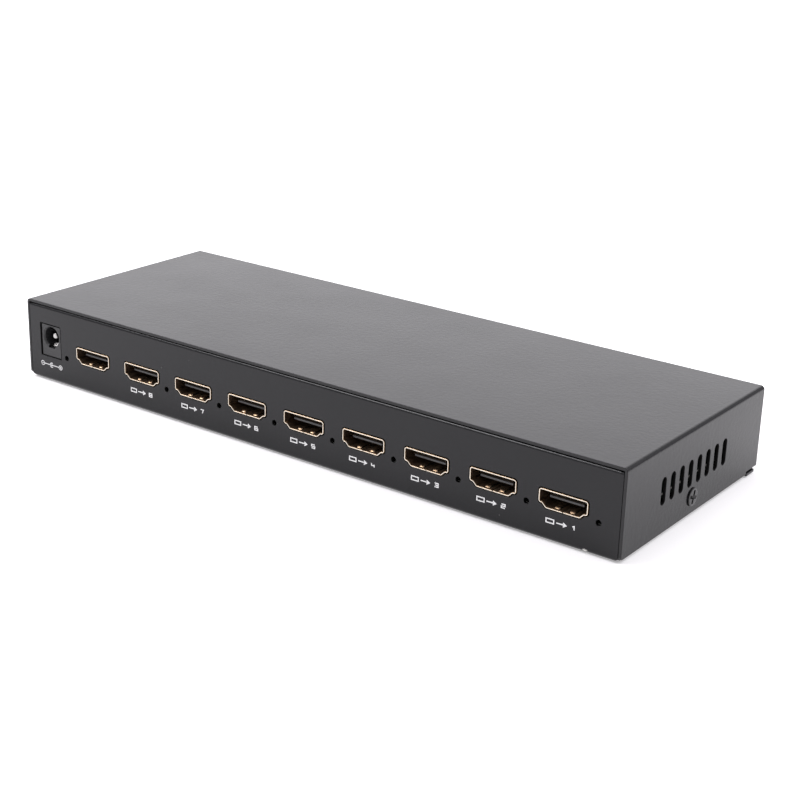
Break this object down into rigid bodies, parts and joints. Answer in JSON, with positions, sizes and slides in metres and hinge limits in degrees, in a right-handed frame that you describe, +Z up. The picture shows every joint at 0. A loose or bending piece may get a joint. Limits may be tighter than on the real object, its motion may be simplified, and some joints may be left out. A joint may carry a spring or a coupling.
{
  "type": "hdmi splitter",
  "caption": "Flat black folded-steel box with a row of gold-rimmed video sockets and a barrel power jack on one long side; repeats one video input to several screens.",
  "frame": {"origin": "centre of the footprint on the plane that the feet stand on", "axes": "+Z up, the port panel faces -Y, +X along the port row from the power jack to output 1"},
  "size_m": [0.22, 0.0796, 0.0264],
  "materials": {
    "case_paint": "semi-gloss black powder coat",
    "screw_black": "black zinc",
    "foot_rubber": "matte",
    "board_laminate": "dark solder mask",
    "plated_steel": "zinc plated",
    "jack_plastic": "moulded, fine grain",
    "nickel_contact": "nickel plated",
    "socket_gold": "thin pale gold plating",
    "socket_plastic": "moulded",
    "contact_gold": "gold plated",
    "led_resin": "smoked resin",
    "chip_epoxy": "moulded epoxy",
    "thermal_pad": "matte",
    "heat_sink_black": "black anodised",
    "ferrite": "sintered",
    "capacitor_can": "satin",
    "ceramic": "sintered",
    "fuse_polymer": "moulded"
  },
  "bodies": {
    "case": {"top_cover": "case_paint", "chassis_tray": "case_paint", "port_panel_left": "case_paint", "port_panel_middle": "case_paint", "port_panel_right": "case_paint", "cover_screws": "screw_black", "rubber_feet": "foot_rubber", "circuit_board": "board_laminate", "board_standoffs": "plated_steel", "board_screws": "plated_steel", "jack_body": "jack_plastic", "jack_centre_pin": "nickel_contact", "jack_sleeve_terminal": "nickel_contact", "jack_switch_contact": "nickel_contact", "power_led": "led_resin", "output_leds": "led_resin", "splitter_chips": "chip_epoxy", "thermal_pads": "thermal_pad", "heat_sinks": "heat_sink_black", "input_chip": "chip_epoxy", "controller_chip": "chip_epoxy", "quartz_crystal": "plated_steel", "power_inductor": "ferrite", "voltage_regulators": "chip_epoxy", "electrolytic_capacitors": "capacitor_can", "surge_arrays": "chip_epoxy", "chip_capacitors": "ceramic", "resettable_fuse": "fuse_polymer", "socket_in_shell": "socket_gold", "socket_in_insulator": "socket_plastic", "socket_in_contacts": "contact_gold", "socket_out1_shell": "socket_gold", "socket_out1_insulator": "socket_plastic", "socket_out1_contacts": "contact_gold", "socket_out2_shell": "socket_gold", "socket_out2_insulator": "socket_plastic", "socket_out2_contacts": "contact_gold", "socket_out3_shell": "socket_gold", "socket_out3_insulator": "socket_plastic", "socket_out3_contacts": "contact_gold", "socket_out4_shell": "socket_gold", "socket_out4_insulator": "socket_plastic", "socket_out4_contacts": "contact_gold", "socket_out5_shell": "socket_gold", "socket_out5_insulator": "socket_plastic", "socket_out5_contacts": "contact_gold", "socket_out6_shell": "socket_gold", "socket_out6_insulator": "socket_plastic", "socket_out6_contacts": "contact_gold", "socket_out7_shell": "socket_gold", "socket_out7_insulator": "socket_plastic", "socket_out7_contacts": "contact_gold", "socket_out8_shell": "socket_gold", "socket_out8_insulator": "socket_plastic", "socket_out8_contacts": "contact_gold"},
    "sleeve_spring": {"jack_sleeve_spring": "nickel_contact"}
  },
  "joints": [
    {"name": "sleeve_spring_flex", "type": "hinge", "parent": "case", "child": "sleeve_spring", "pos_m": [-0.0992, -0.02817, 0.01115], "axis": [1, 0, 0], "range_deg": [0, 5], "stiffness_Nm_per_rad": 0.05}
  ]
}
